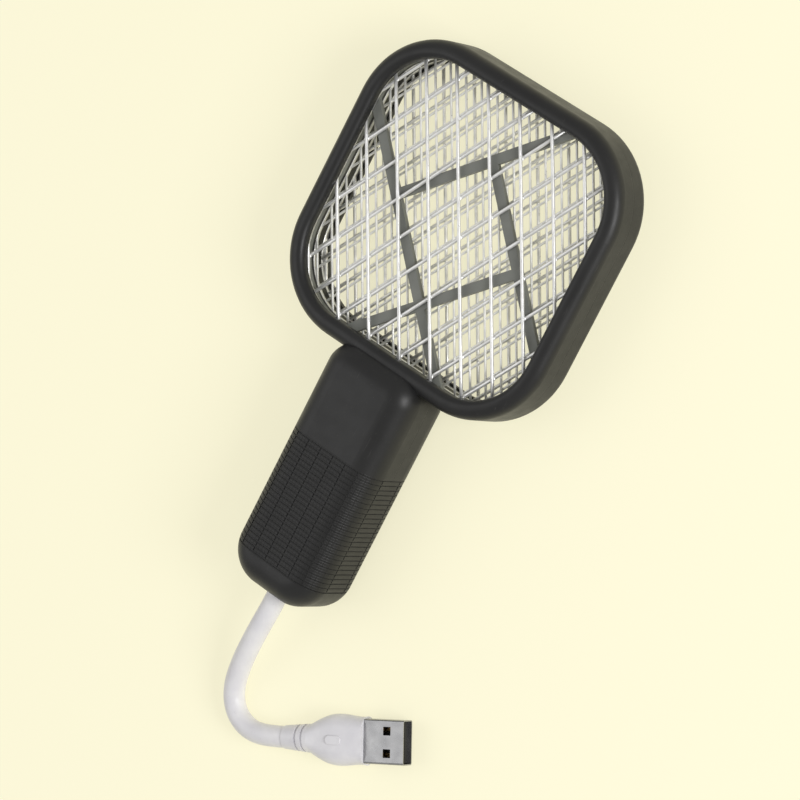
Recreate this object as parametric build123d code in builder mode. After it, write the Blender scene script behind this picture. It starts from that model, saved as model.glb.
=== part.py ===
"""Palm-sized rechargeable electric fly swatter with a short USB lead.

Two moulded shells, each half of the rim and half of the handle in one piece, close on each
other at the mid plane. The rim holds three wire grids apart; the handle holds the high-voltage
board, the cell, a push button and a slide switch. Millimetres, +Z up, +Y from the handle to the
tip of the head. The swatter lies on its control side: the handle's lower face is at z = 0.
"""
from build123d import *
import math
import os

os.makedirs("parts", exist_ok=True)

# ---------------------------------------------------------------- overall sizes
HEAD_W = 88.0  # head, across X
HEAD_L = 86.0  # head, along Y
HEAD_R = 24.0  # plan corner radius of the head
HEAD_T = 16.0  # head thickness
HANDLE_W = 30.6
HANDLE_L = 68.6  # from the head's lower side to the free end
HANDLE_T = 23.0
HANDLE_END_R = 10.5  # plan corners of the free end
HANDLE_NECK_R = 8.0  # plan corners beside the head
HANDLE_EDGE_R = 7.0  # rounding of the handle's long edges and ends
NECK_OVERLAP = 3.4  # how far the handle runs into the rim
WALL = 2.0  # shell thickness
LIP_W = 5.2  # rim, from its outside to the window
LIP_T = 3.0  # thickness of the lip over the grids
RIM_EDGE_R = 3.2  # outside rounding of the rim
LIP_EDGE_R = 1.8  # rounding at the window

# ---------------------------------------------------------------- clearances
FIT = 0.15  # between a piece and the pocket that it drops into
RUN = 0.25  # round a piece that slides through a shell
LIFT = 0.15  # between a sliding flange and the wall behind it
TONGUE_GAP = 0.1  # round the tongue of the parting line

# ---------------------------------------------------------------- parting line
TONGUE_W = 0.8
TONGUE_H = 0.8
TONGUE_INSET = 0.6  # from the outside of the rim to the tongue

# ---------------------------------------------------------------- grids and frames
WIRE_ANGLE = 32.0  # of each layer of wires to the Y axis
OUTER_WIRE = 1.0
OUTER_PITCH = 9.45
OUTER_SHIFT = (1.3, 2.7)  # first wire of each layer, from the head's centre
INNER_WIRE = 0.7
INNER_PITCH = 4.725
INNER_SHIFT = (0.6, 1.6)
WELD = 0.15  # how far crossing wires sink into each other
WIRE_SETBACK = 0.4  # wire ends stop this far inside the edge of their band
BAND_RECESS = 0.8  # frames and bands stand this far behind the lip
RIB_W = 2.8
RIB_T = 1.5
RIB_OFFSET = 15.4  # from the middle of the rib square to each rib
RIB_CENTRE_Y = -1.2  # middle of the rib square, from the head's centre
CONTACT_T = 0.5  # brass strip
CONTACT_W = 3.0
CONTACT_X = 3.5  # each contact strip, from the middle plane
CONTACT_TAIL = 4.6
NOTCH_GAP = 0.6  # round the strap that passes the live grid
NOTCH_DEPTH = 0.85
SLOT_W = 13.0  # opening in the rim wall for the contacts
LEAD_D = 1.2
LEAD_BEND = 1.2
LEAD_BEND_SHARE = 0.6  # of the shortest run that an arc may take
LEAD_FROM_EDGE = 1.0  # where a lead meets the board, from the board's edge

# ---------------------------------------------------------------- grip
GRIP_FROM_NECK = 25.0  # first groove
GRIP_FROM_END = 8.0  # last groove
GROOVE_PITCH = 1.45
GROOVE_W = 0.4
GROOVE_DEPTH = 0.2
FLUTE_PITCH = 4.4

# ---------------------------------------------------------------- circuit board
BOARD_T = 1.2
BOARD_R = 1.0  # plan corners
BOARD_LIFT = 5.6  # underside, above the inner face of the front shell
BOARD_SIDE_GAP = 1.3
BOARD_FROM_NECK = 8.8
BOARD_FROM_CLAMP = 1.8
LEDGE_T = 1.8
LEDGE_L = 4.0
LEDGE_FROM_NECK = 15.3
LEDGE_FROM_BOARD_END = 5.0
FINGER_FROM_NECK = 20.8
FINGER_FROM_BOARD_END = 10.0

# ---------------------------------------------------------------- case screws
SCREW_FROM_SIDE = 5.3
SCREW_FROM_NECK = 4.5
SCREW_FROM_END = 7.8
SCREW_R = 1.0
SCREW_HEAD_R = 1.9
SCREW_HEAD_H = 1.5
SCREW_CROSS_L = 2.2  # driver cross in the head
SCREW_CROSS_W = 0.5
SCREW_CROSS_DEPTH = 0.8
SCREW_TIP_GAP = 0.5  # pilot hole past the tip
SCREW_SEAT = 5.0  # from the lower face to the seat of the head
SCREW_L = 12.0
SCREW_CLEAR_R = 1.2
SCREW_PILOT_R = 0.85
BORE_GAP = 0.25  # round the screw head
BOSS_R = 2.9

# ---------------------------------------------------------------- push button and its switch
BUTTON_FROM_NECK = 13.3
BUTTON_W = 11.0
BUTTON_L = 8.6
BUTTON_EDGE_R = 0.6
BUTTON_SUNK = 0.2  # its face, above the plane that the swatter lies on
BUTTON_TRAVEL = 0.5
FLANGE_RIM = 1.3
FLANGE_T = 1.0
DISH_DEPTH = 1.0
DISH_RIM = 2.6  # shell face round the button, inside the dish
DISH_TAPER = -35.0
TACT_W = 6.0
TACT_R = 0.5
TACT_STEM_OUT = 1.05  # stem between its body and the button
TACT_STEM_R = 1.75
TACT_BORE_DEPTH = 1.5
TACT_STEM_IN = 0.8  # stem inside its body at rest

# ---------------------------------------------------------------- power slide switch
POWER_FROM_NECK = 35.3
POWER_TRAVEL = 2.5
KNOB_W = 3.4
KNOB_L = 4.0
KNOB_SUNK = 0.3
KNOB_PLATE_W = 6.4
KNOB_PLATE_T = 0.8
KNOB_RIDGES = 3
KNOB_RIDGE_W = 0.5
KNOB_RIDGE_DEPTH = 0.3
WELL_RIM = 1.6  # floor of the well round the knob's slot
LEVER_W = 1.5
LEVER_SEAT = 0.5  # lever inside the knob's plate
LEVER_IN = 1.3  # lever inside the switch body
SWITCH_L = 8.6
SWITCH_W = 4.4
SWITCH_GAP = 0.35  # between the knob's plate and the switch body
SWITCH_SKIRT = 0.25  # gap between the lever and the slot in the switch body

# ---------------------------------------------------------------- indicator
LED_FROM_NECK = 23.3
LED_R = 1.5
LED_FLANGE_R = 1.9
LED_FLANGE_H = 1.0
LED_SUNK = 0.4

# ---------------------------------------------------------------- parts on the board
HEADROOM = 2.2  # between the tallest parts and the back shell
CORE_FROM_BOARD_SIDE = 1.0
CORE_FROM_CAP = 1.4
CORE_FROM_NECK = 18.3
CORE_D = 6.0
CORE_LEG = 3.0
CORE_SIDE_LEG = 1.8
CORE_YOKE = 1.8  # iron above and below the windows
COIL_RIM = 2.9  # winding past the core's faces
COIL_SIDE_GAP = 0.3  # from the winding to the core's side legs
COIL_GAP = 0.1
COIL_R = 1.5
CAP_FROM_BOARD_SIDE = 1.6
CAP_FROM_NECK = 17.8
CAP_W = 7.0
CAP_L = 12.0
CAP_R = 1.2
CAP_EDGE_R = 0.8
CELL_FROM_BOARD_SIDE = 2.0
CELL_FROM_BOARD_END = 3.0
CELL_FROM_COIL = 3.1
CELL_T = 6.0
CELL_R = 2.0
CELL_LEAD_INSET = 4.0  # from the cell's side
CELL_LEAD_REACH = 1.4
PAD_T = 0.8
PAD_INSET = 2.0
UNDER_FROM_BOARD_END = 12.0  # resistor and charging chip, from the board's end
DIODES_FROM_BOARD_SIDE = (3.0, 6.0)
DIODES_FROM_NECK = 25.3
DIODE_R = 1.1
DIODE_L = 4.0
RESISTOR_FROM_BOARD_SIDE = 4.5
RESISTOR_R = 1.15
RESISTOR_L = 6.0
AXIAL_LEAD = 0.5
AXIAL_REACH = 1.4
AXIAL_GAP = 0.3  # between a barrel and the board
CHIP_FROM_BOARD_SIDE = 5.0
CHIP_W = 4.0
CHIP_L = 5.0
CHIP_H = 1.4
CHIP_GAP = 0.1
CHIP_LEG_L = 1.0
CHIP_LEG_W = 0.4
LEG_PITCH = 1.27
TRANSISTOR_FROM_BOARD_SIDE = 4.0
TRANSISTOR_FROM_NECK = 24.3
TRANSISTOR_R = 2.3
TRANSISTOR_FLAT = 0.9  # flat face, from the middle
TRANSISTOR_LEG = 0.5
TRANSISTOR_LEG_L = 0.8
TRANSISTOR_H = 4.2

# ---------------------------------------------------------------- lead and plug
CORD_D = 6.0
BUSH_R = 3.8
BUSH_FLANGE_R = 4.6
BUSH_FLANGE_T = 1.3
CLAMP_GAP = 1.1  # to the screw bosses
CLAMP_L = 3.4
CLAMP_FROM_END = 7.1
PLUG_W = 13.8
PLUG_T = 8.5
PLUG_L = 26.0
PLUG_BUMP_W = 2.6  # raised mark on the plug's upper face
PLUG_BUMP_L = 5.0
PLUG_BUMP_H = 0.35
PLUG_BUMP_AT = 17.5
NECK_L = 8.5
NECK_R = 4.0  # beside the body of the plug
NECK_START_R = 3.25  # where the lead enters
NECK_GROOVE = 0.8
NECK_GROOVE_DEPTH = 0.45
NECK_GROOVES_AT = (4.3, 6.4)
USB_W = 12.0
USB_H = 4.5
USB_L = 12.5
USB_SHEET = 0.3
USB_SUNK = 3.0  # metal inside the overmould
USB_HOLE = 2.3
USB_HOLE_X = 3.0
USB_HOLE_FROM_TIP = 5.2
TONGUE_PLASTIC_T = 1.9
TONGUE_SETBACK = 1.0
CONTACT_PITCH = 2.3
CONTACT_PAD_W = 1.1
CONTACT_PAD_T = 0.15

# ---------------------------------------------------------------- worked-out places
MID_Z = HANDLE_T / 2
Y_TIP = (HEAD_L + HANDLE_L) / 2
Y_END = -Y_TIP
Y_NECK = Y_TIP - HEAD_L
HEAD_Y = Y_TIP - HEAD_L / 2
POCKET_H = HEAD_T / 2 - LIP_T
STACK_TOP = MID_Z + POCKET_H
STACK_BOTTOM = MID_Z - POCKET_H
OUTER_GRID_T = 2 * OUTER_WIRE - WELD
INNER_GRID_T = 2 * INNER_WIRE - WELD
GRID_EDGE = WALL + FIT  # from the outside of the rim to the edge of the grids
BAND_IN = LIP_W - BAND_RECESS
GRID_SIDE_Y = Y_NECK + GRID_EDGE
INNER_TOP = MID_Z + INNER_GRID_T / 2
INNER_BOTTOM = MID_Z - INNER_GRID_T / 2
RIB_BOTTOM = STACK_TOP - OUTER_GRID_T - RIB_T
SCREW_X = HANDLE_W / 2 - SCREW_FROM_SIDE
SCREW_YS = (Y_NECK - SCREW_FROM_NECK, Y_END + SCREW_FROM_END)
SCREW_TIP = SCREW_SEAT + SCREW_L
CLAMP_Y = Y_END + CLAMP_FROM_END + CLAMP_L / 2
CORD_START_Y = CLAMP_Y + CLAMP_L / 2
FLOOR_Z = CORD_D / 2
BOARD_Z = WALL + BOARD_LIFT
BOARD_TOP = BOARD_Z + BOARD_T
BOARD_W = HANDLE_W - 2 * (WALL + BOARD_SIDE_GAP)
BOARD_TOP_Y = Y_NECK - BOARD_FROM_NECK
BOARD_END_Y = CORD_START_Y + BOARD_FROM_CLAMP
BOARD_L = BOARD_TOP_Y - BOARD_END_Y
BOARD_Y = (BOARD_TOP_Y + BOARD_END_Y) / 2
LEDGE_YS = (Y_NECK - LEDGE_FROM_NECK, BOARD_END_Y + LEDGE_FROM_BOARD_END)
FINGER_YS = (Y_NECK - FINGER_FROM_NECK, BOARD_END_Y + FINGER_FROM_BOARD_END)
BUTTON_Y = Y_NECK - BUTTON_FROM_NECK
LED_Y = Y_NECK - LED_FROM_NECK
POWER_Y = Y_NECK - POWER_FROM_NECK
UNDER_Y = BOARD_END_Y + UNDER_FROM_BOARD_END
TALL_H = HANDLE_T - WALL - HEADROOM - BOARD_TOP  # transformer and capacitor
CLAMP_W = 2 * (SCREW_X - BOSS_R - CLAMP_GAP)
CAP_X = BOARD_W / 2 - CAP_FROM_BOARD_SIDE - CAP_W / 2
CORE_LEFT = -BOARD_W / 2 + CORE_FROM_BOARD_SIDE
CORE_RIGHT = CAP_X - CAP_W / 2 - CORE_FROM_CAP
CORE_X = (CORE_LEFT + CORE_RIGHT) / 2
CORE_W = CORE_RIGHT - CORE_LEFT
CORE_WINDOW_W = (CORE_W - CORE_LEG) / 2 - CORE_SIDE_LEG
COIL_W = CORE_LEG + 2 * (CORE_WINDOW_W - COIL_SIDE_GAP)
CORE_Y = Y_NECK - CORE_FROM_NECK
COIL_D = CORE_D + 2 * COIL_RIM
CAP_Y = Y_NECK - CAP_FROM_NECK
CELL_W = BOARD_W - 2 * CELL_FROM_BOARD_SIDE
CELL_END_Y = BOARD_END_Y + CELL_FROM_BOARD_END
CELL_L = CORE_Y - COIL_D / 2 - CELL_FROM_COIL - CELL_END_Y
CELL_Z = BOARD_TOP + PAD_T + CELL_T / 2


def level(z, y=0.0, x=0.0):
    """A horizontal sketch plane."""
    return Plane(origin=(x, y, z))


def facing_down(x, y, z):
    """A sketch plane facing -Z, for what is let into the lower face."""
    return Plane(origin=(x, y, z), x_dir=(1, 0, 0), z_dir=(0, 0, -1))


def facing_tip(x, y, z):
    """A sketch plane facing +Y, for what lies along the handle."""
    return Plane(origin=(x, y, z), x_dir=(1, 0, 0), z_dir=(0, 1, 0))


def save(piece, name):
    piece.part.label = name
    export_step(piece.part, f"parts/{name}.step")


# ================================================================ outer forms
def head_half():
    """Upper half of the rim: a rounded ring with the window cut through."""
    with BuildPart() as half:
        with BuildSketch(level(MID_Z, HEAD_Y)):
            RectangleRounded(HEAD_W, HEAD_L, HEAD_R)
        extrude(amount=HEAD_T / 2)
        fillet(half.faces().sort_by(Axis.Z)[-1].edges(), RIM_EDGE_R)
        with BuildSketch(level(MID_Z, HEAD_Y)):
            RectangleRounded(HEAD_W - 2 * LIP_W, HEAD_L - 2 * LIP_W, HEAD_R - LIP_W)
        extrude(amount=HEAD_T / 2, mode=Mode.SUBTRACT)
        top = half.faces().sort_by(Axis.Z)[-1]
        fillet(top.inner_wires()[0].edges(), LIP_EDGE_R)
    return half.part


def handle_half(inset, neck_y):
    """Upper half of the handle, or of a smaller form inside it, up to neck_y."""
    length = neck_y - Y_END - inset
    with BuildPart() as half:
        with BuildSketch(level(MID_Z, neck_y - length / 2)) as plan:
            Rectangle(HANDLE_W - 2 * inset, length)
            fillet(plan.vertices().group_by(Axis.Y)[0], HANDLE_END_R - inset)
            fillet(plan.vertices().group_by(Axis.Y)[-1], HANDLE_NECK_R - inset)
        extrude(amount=HANDLE_T / 2 - inset)
        fillet(half.faces().sort_by(Axis.Z)[-1].edges(), HANDLE_EDGE_R - inset)
    return half.part


def grip_grooves(handle):
    """The net of shallow grooves round the upper half of the grip."""
    with BuildPart() as skin:
        add(handle)
        add(handle_half(GROOVE_DEPTH, Y_NECK), mode=Mode.SUBTRACT)
    first = Y_NECK - GRIP_FROM_NECK
    count = int((first - Y_END - GRIP_FROM_END) / GROOVE_PITCH)
    with BuildPart() as slabs:
        for i in range(count + 1):
            with BuildSketch(level(0, first - i * GROOVE_PITCH)):
                Rectangle(HANDLE_W, GROOVE_W)
            extrude(amount=HANDLE_T)
        run = count * GROOVE_PITCH
        flutes = int(HANDLE_W / 2 / FLUTE_PITCH)
        for side in (-1, 1):
            for i in range(flutes):
                with BuildSketch(level(0, first - run / 2, side * (i + 0.5) * FLUTE_PITCH)):
                    Rectangle(GROOVE_W, run)
                extrude(amount=HANDLE_T)
        with BuildSketch(level(MID_Z + FLUTE_PITCH - GROOVE_W / 2, first - run / 2)):
            Rectangle(HANDLE_W, run)
        extrude(amount=GROOVE_W)
        add(skin.part, mode=Mode.INTERSECT)
    return slabs.part


def seal_ring(inset, width, height):
    """The ring-shaped tongue under the mid plane, or the groove that takes it."""
    with BuildPart() as ring:
        with BuildSketch(level(MID_Z, HEAD_Y)):
            RectangleRounded(HEAD_W - 2 * inset, HEAD_L - 2 * inset, HEAD_R - inset)
            inner = inset + width
            RectangleRounded(
                HEAD_W - 2 * inner, HEAD_L - 2 * inner, HEAD_R - inner, mode=Mode.SUBTRACT
            )
        extrude(amount=-height)
    return ring.part


def pocket_half():
    """The groove round the inside of the rim that takes the upper half of the stack."""
    with BuildPart() as pocket:
        with BuildSketch(level(MID_Z, HEAD_Y)):
            RectangleRounded(HEAD_W - 2 * WALL, HEAD_L - 2 * WALL, HEAD_R - WALL)
        extrude(amount=POCKET_H)
    return pocket.part


def contact_slot():
    """The opening in the rim wall, between the grids and the handle."""
    with BuildPart() as slot:
        with BuildSketch(level(STACK_BOTTOM, Y_NECK + WALL / 2)):
            Rectangle(SLOT_W, WALL + 2)
        extrude(amount=2 * POCKET_H)
    return slot.part


def bushing_hole():
    with BuildPart() as hole:
        with BuildSketch(facing_tip(0, Y_END - 1, MID_Z)):
            Circle(BUSH_R)
        extrude(amount=WALL + 2)
        with BuildSketch(facing_tip(0, Y_END + WALL, MID_Z)):  # seat of the flange
            Circle(BUSH_FLANGE_R + FIT)
        extrude(amount=BUSH_FLANGE_T)
    return hole.part


HEAD_HALF = head_half()
HANDLE_HALF = handle_half(0, Y_NECK + NECK_OVERLAP)
CAVITY_HALF = handle_half(WALL, Y_NECK)
GROOVES_HALF = grip_grooves(HANDLE_HALF)
POCKET_HALF = pocket_half()
SLOT = contact_slot()
HOLE = bushing_hole()
MID_PLANE = Plane.XY.offset(MID_Z)


def mirrored(part):
    """The same form below the mid plane."""
    with BuildPart() as lower:
        add(mirror(part, about=MID_PLANE, mode=Mode.PRIVATE))
    return lower.part


# ================================================================ shells
with BuildPart() as back_features:  # what stands inside the back shell, trimmed to its outside
    for screw_y in SCREW_YS:
        for side in (-1, 1):
            with BuildSketch(level(MID_Z, screw_y, side * SCREW_X)):
                Circle(BOSS_R)
            extrude(amount=HANDLE_T / 2)
    for finger_y in FINGER_YS:
        for side in (-1, 1):
            finger_x = side * (HANDLE_W / 2 - WALL - FIT - LEDGE_T / 2)
            with BuildSketch(level(MID_Z, finger_y, finger_x)):
                Rectangle(LEDGE_T, LEDGE_L)
            extrude(amount=HANDLE_T / 2)
    add(HANDLE_HALF, mode=Mode.INTERSECT)

with BuildPart() as back_shell:
    add(HEAD_HALF)
    add(HANDLE_HALF)
    add(POCKET_HALF, mode=Mode.SUBTRACT)
    add(CAVITY_HALF, mode=Mode.SUBTRACT)
    add(back_features.part)
    for finger_y in FINGER_YS:  # the fingers reach down to the board
        for side in (-1, 1):
            finger_x = side * (HANDLE_W / 2 - WALL - FIT - LEDGE_T / 2)
            with BuildSketch(level(BOARD_TOP, finger_y, finger_x)):
                Rectangle(LEDGE_T, LEDGE_L)
            extrude(amount=MID_Z - BOARD_TOP)
    add(seal_ring(TONGUE_INSET, TONGUE_W, TONGUE_H))
    add(SLOT, mode=Mode.SUBTRACT)
    add(HOLE, mode=Mode.SUBTRACT)
    add(GROOVES_HALF, mode=Mode.SUBTRACT)
    for screw_y in SCREW_YS:
        for side in (-1, 1):
            with BuildSketch(level(MID_Z, screw_y, side * SCREW_X)):
                Circle(SCREW_PILOT_R)
            extrude(amount=SCREW_TIP + SCREW_TIP_GAP - MID_Z, mode=Mode.SUBTRACT)
save(back_shell, "back_shell")

with BuildPart() as front_features:  # what stands inside the front shell
    for screw_y in SCREW_YS:
        for side in (-1, 1):
            with BuildSketch(level(0, screw_y, side * SCREW_X)):
                Circle(BOSS_R)
            extrude(amount=MID_Z)
    for ledge_y in LEDGE_YS:
        for side in (-1, 1):
            ledge_x = side * (HANDLE_W / 2 - WALL - LEDGE_T / 2)
            with BuildSketch(level(0, ledge_y, ledge_x)):
                Rectangle(LEDGE_T, LEDGE_L)
            extrude(amount=BOARD_Z)
    add(mirrored(HANDLE_HALF), mode=Mode.INTERSECT)

with BuildPart() as control_cuts:  # everything let into the lower face
    with BuildSketch(facing_down(0, BUTTON_Y, DISH_DEPTH)):
        SlotOverall(BUTTON_W + 2 * DISH_RIM, BUTTON_L + 2 * DISH_RIM)
    extrude(amount=DISH_DEPTH, taper=DISH_TAPER)
    with BuildSketch(level(0, BUTTON_Y)):
        SlotOverall(BUTTON_W + 2 * RUN, BUTTON_L + 2 * RUN)
    extrude(amount=WALL)
    well_l = KNOB_L + POWER_TRAVEL + 2 * RUN
    well_y = POWER_Y + POWER_TRAVEL / 2
    with BuildSketch(facing_down(0, well_y, DISH_DEPTH)):
        RectangleRounded(KNOB_W + 2 * WELL_RIM, well_l + 2 * WELL_RIM, WELL_RIM)
    extrude(amount=DISH_DEPTH, taper=DISH_TAPER)
    with BuildSketch(level(0, well_y)):
        Rectangle(KNOB_W + 2 * RUN, well_l)
    extrude(amount=WALL)
    with BuildSketch(level(0, LED_Y)):
        Circle(LED_R + RUN / 2)
    extrude(amount=WALL)
    for screw_y in SCREW_YS:
        for side in (-1, 1):
            with BuildSketch(level(0, screw_y, side * SCREW_X)):
                Circle(SCREW_HEAD_R + BORE_GAP)
            extrude(amount=SCREW_SEAT)
            with BuildSketch(level(0, screw_y, side * SCREW_X)):
                Circle(SCREW_CLEAR_R)
            extrude(amount=MID_Z)

with BuildPart() as power_panel:  # the smooth panel round the slide switch
    panel_w = KNOB_W + 4 * WELL_RIM
    with BuildSketch(level(0, well_y)):
        RectangleRounded(panel_w, well_l + 4 * WELL_RIM, WELL_RIM)
    extrude(amount=WALL)

with BuildPart() as lower_grooves:
    add(mirrored(GROOVES_HALF))
    add(power_panel.part, mode=Mode.SUBTRACT)

with BuildPart() as front_shell:
    add(mirrored(HEAD_HALF))
    add(mirrored(HANDLE_HALF))
    add(mirrored(POCKET_HALF), mode=Mode.SUBTRACT)
    add(mirrored(CAVITY_HALF), mode=Mode.SUBTRACT)
    add(front_features.part)
    add(
        seal_ring(TONGUE_INSET - TONGUE_GAP, TONGUE_W + 2 * TONGUE_GAP, TONGUE_H + TONGUE_GAP),
        mode=Mode.SUBTRACT,
    )
    add(SLOT, mode=Mode.SUBTRACT)
    add(HOLE, mode=Mode.SUBTRACT)
    add(lower_grooves.part, mode=Mode.SUBTRACT)
    add(control_cuts.part, mode=Mode.SUBTRACT)
save(front_shell, "front_shell")


# ================================================================ the stack in the rim
def band(z, height):
    """The closed ring that every grid and frame has round its edge, as a part."""
    with BuildPart() as ring:
        with BuildSketch(level(z, HEAD_Y)):
            RectangleRounded(HEAD_W - 2 * GRID_EDGE, HEAD_L - 2 * GRID_EDGE, HEAD_R - GRID_EDGE)
            RectangleRounded(
                HEAD_W - 2 * BAND_IN, HEAD_L - 2 * BAND_IN, HEAD_R - BAND_IN, mode=Mode.SUBTRACT
            )
        extrude(amount=height)
    return ring.part


def wire_layer(z, wire, pitch, shift, angle):
    """Parallel wires across the head, cut to the outline of the grid."""
    turn = math.radians(angle)
    reach = math.hypot(HEAD_W, HEAD_L)
    count = int(reach / 2 / pitch)
    places = []
    for i in range(-count, count + 1):
        across = shift + i * pitch
        x, y = across * math.cos(turn), -across * math.sin(turn)
        inside = abs(x) < HEAD_W and abs(y) < HEAD_L
        if inside:
            places.append(Location((x, y, 0), (0, 0, -angle)))
    with BuildPart() as layer:
        with BuildSketch(level(z, HEAD_Y)):
            with Locations(*places):
                Rectangle(wire, 2 * reach)
            edge = GRID_EDGE + WIRE_SETBACK
            RectangleRounded(
                HEAD_W - 2 * edge, HEAD_L - 2 * edge, HEAD_R - edge, mode=Mode.INTERSECT
            )
        extrude(amount=wire)
    return layer.part


with BuildPart() as outer_grid_back:
    z = STACK_TOP - OUTER_GRID_T
    add(band(z, OUTER_GRID_T))
    add(wire_layer(z, OUTER_WIRE, OUTER_PITCH, OUTER_SHIFT[1], WIRE_ANGLE))
    add(wire_layer(STACK_TOP - OUTER_WIRE, OUTER_WIRE, OUTER_PITCH, OUTER_SHIFT[0], -WIRE_ANGLE))
save(outer_grid_back, "outer_grid_back")

with BuildPart() as outer_grid_front:
    z = STACK_BOTTOM
    add(band(z, OUTER_GRID_T))
    add(wire_layer(z, OUTER_WIRE, OUTER_PITCH, OUTER_SHIFT[0], -WIRE_ANGLE))
    z = STACK_BOTTOM + OUTER_GRID_T - OUTER_WIRE
    add(wire_layer(z, OUTER_WIRE, OUTER_PITCH, OUTER_SHIFT[1], WIRE_ANGLE))
save(outer_grid_front, "outer_grid_front")

with BuildPart() as inner_grid:
    add(band(INNER_BOTTOM, INNER_GRID_T))
    add(wire_layer(INNER_BOTTOM, INNER_WIRE, INNER_PITCH, INNER_SHIFT[0], WIRE_ANGLE))
    z = INNER_TOP - INNER_WIRE
    add(wire_layer(z, INNER_WIRE, INNER_PITCH, INNER_SHIFT[1], -WIRE_ANGLE))
    with BuildSketch(level(INNER_BOTTOM, GRID_SIDE_Y, -CONTACT_X)):  # clears the earth strap
        Rectangle(CONTACT_W + 2 * NOTCH_GAP, 2 * NOTCH_DEPTH)
    extrude(amount=INNER_GRID_T, mode=Mode.SUBTRACT)
save(inner_grid, "inner_grid")

with BuildPart() as rib_frame:
    add(band(RIB_BOTTOM, RIB_T))
    long = 2 * HEAD_L
    with BuildSketch(level(RIB_BOTTOM, HEAD_Y)):
        # Each rib runs at 45 degrees. half is from the square's middle to a corner of it.
        half = RIB_OFFSET * math.sqrt(2)
        with BuildLine() as full_rib:  # from the upper left of the rim to the bottom
            Line((-long / 2, RIB_CENTRE_Y - half + long / 2), (long / 2, RIB_CENTRE_Y - half - long / 2))
        trace(line_width=RIB_W)
        with BuildLine() as upper_rib:  # from the full rib to the top of the rim
            Line((-half, RIB_CENTRE_Y), (long / 2 - half, RIB_CENTRE_Y + long / 2))
        trace(line_width=RIB_W)
        with BuildLine() as right_rib:  # from the upper rib to the lower right of the rim
            Line((0, RIB_CENTRE_Y + half), (long / 2, RIB_CENTRE_Y + half - long / 2))
        trace(line_width=RIB_W)
        with BuildLine() as lower_rib:  # from the lower left of the rim to the right rib
            Line((half, RIB_CENTRE_Y), (half - long / 2, RIB_CENTRE_Y - long / 2))
        trace(line_width=RIB_W)
        RectangleRounded(
            HEAD_W - 2 * GRID_EDGE, HEAD_L - 2 * GRID_EDGE, HEAD_R - GRID_EDGE, mode=Mode.INTERSECT
        )
    extrude(amount=RIB_T)
save(rib_frame, "rib_frame")

with BuildPart() as spacer_ring_back:
    add(band(INNER_TOP, RIB_BOTTOM - INNER_TOP))
save(spacer_ring_back, "spacer_ring_back")

with BuildPart() as spacer_ring_front:
    z = STACK_BOTTOM + OUTER_GRID_T
    add(band(z, INNER_BOTTOM - z))
save(spacer_ring_front, "spacer_ring_front")


# ================================================================ contacts and their leads
CONTACT_END_Y = GRID_SIDE_Y - CONTACT_TAIL
CONTACT_Z = MID_Z - CONTACT_T / 2

with BuildPart() as live_contact:
    with BuildSketch(level(CONTACT_Z, (GRID_SIDE_Y + CONTACT_END_Y) / 2, CONTACT_X)):
        Rectangle(CONTACT_W, CONTACT_TAIL)
    extrude(amount=CONTACT_T)
save(live_contact, "live_contact")

with BuildPart() as earth_strap:
    with BuildSketch(level(STACK_BOTTOM + FIT, GRID_SIDE_Y - CONTACT_T / 2, -CONTACT_X)):
        Rectangle(CONTACT_W, CONTACT_T)
    extrude(amount=2 * (POCKET_H - FIT))
    with BuildSketch(level(CONTACT_Z, (GRID_SIDE_Y + CONTACT_END_Y) / 2, -CONTACT_X)):
        Rectangle(CONTACT_W, CONTACT_TAIL)
    extrude(amount=CONTACT_T)
save(earth_strap, "earth_strap")


def lead(points, diameter):
    """A round wire along straight runs joined by tangent arcs, no larger than the runs allow."""
    runs = [(Vector(*b) - Vector(*a)).length for a, b in zip(points, points[1:])]
    bend = min(LEAD_BEND, LEAD_BEND_SHARE * min(runs))
    with BuildPart() as wire:
        with BuildLine() as path:
            FilletPolyline(*points, radius=bend)
        with BuildSketch(Plane(path.line @ 0, z_dir=path.line % 0)):
            Circle(diameter / 2)
        sweep(path=path.line)
    return wire.part


LEAD_LAND_Y = BOARD_TOP_Y - LEAD_FROM_EDGE
for side, lead_name in ((1, "live_lead"), (-1, "earth_lead")):
    with BuildPart() as grid_lead:
        lead_x = side * CONTACT_X
        lead_points = (
            (lead_x, CONTACT_END_Y, MID_Z),
            (lead_x, LEAD_LAND_Y, MID_Z),
            (lead_x, LEAD_LAND_Y, BOARD_TOP),
        )
        add(lead(lead_points, LEAD_D))
    save(grid_lead, lead_name)

# ================================================================ circuit board and its parts
with BuildPart() as circuit_board:
    with BuildSketch(level(BOARD_Z, BOARD_Y)):
        RectangleRounded(BOARD_W, BOARD_L, BOARD_R)
    extrude(amount=BOARD_T)
save(circuit_board, "circuit_board")

with BuildPart() as transformer_core:
    with BuildSketch(level(BOARD_TOP, CORE_Y, CORE_X)):
        Rectangle(CORE_W, CORE_D)
    extrude(amount=TALL_H)
    window_z = BOARD_TOP + CORE_YOKE
    window_h = TALL_H - 2 * CORE_YOKE
    for side in (-1, 1):
        window_x = CORE_X + side * (CORE_LEG + CORE_WINDOW_W) / 2
        with BuildSketch(level(window_z, CORE_Y, window_x)):
            Rectangle(CORE_WINDOW_W, CORE_D)
        extrude(amount=window_h, mode=Mode.SUBTRACT)
save(transformer_core, "transformer_core")

with BuildPart() as transformer_coil:
    with BuildSketch(level(window_z + COIL_GAP, CORE_Y, CORE_X)):
        RectangleRounded(COIL_W, COIL_D, COIL_R)
        Rectangle(CORE_LEG + 2 * COIL_GAP, CORE_D + 2 * COIL_GAP, mode=Mode.SUBTRACT)
    extrude(amount=window_h - 2 * COIL_GAP)
save(transformer_coil, "transformer_coil")

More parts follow.
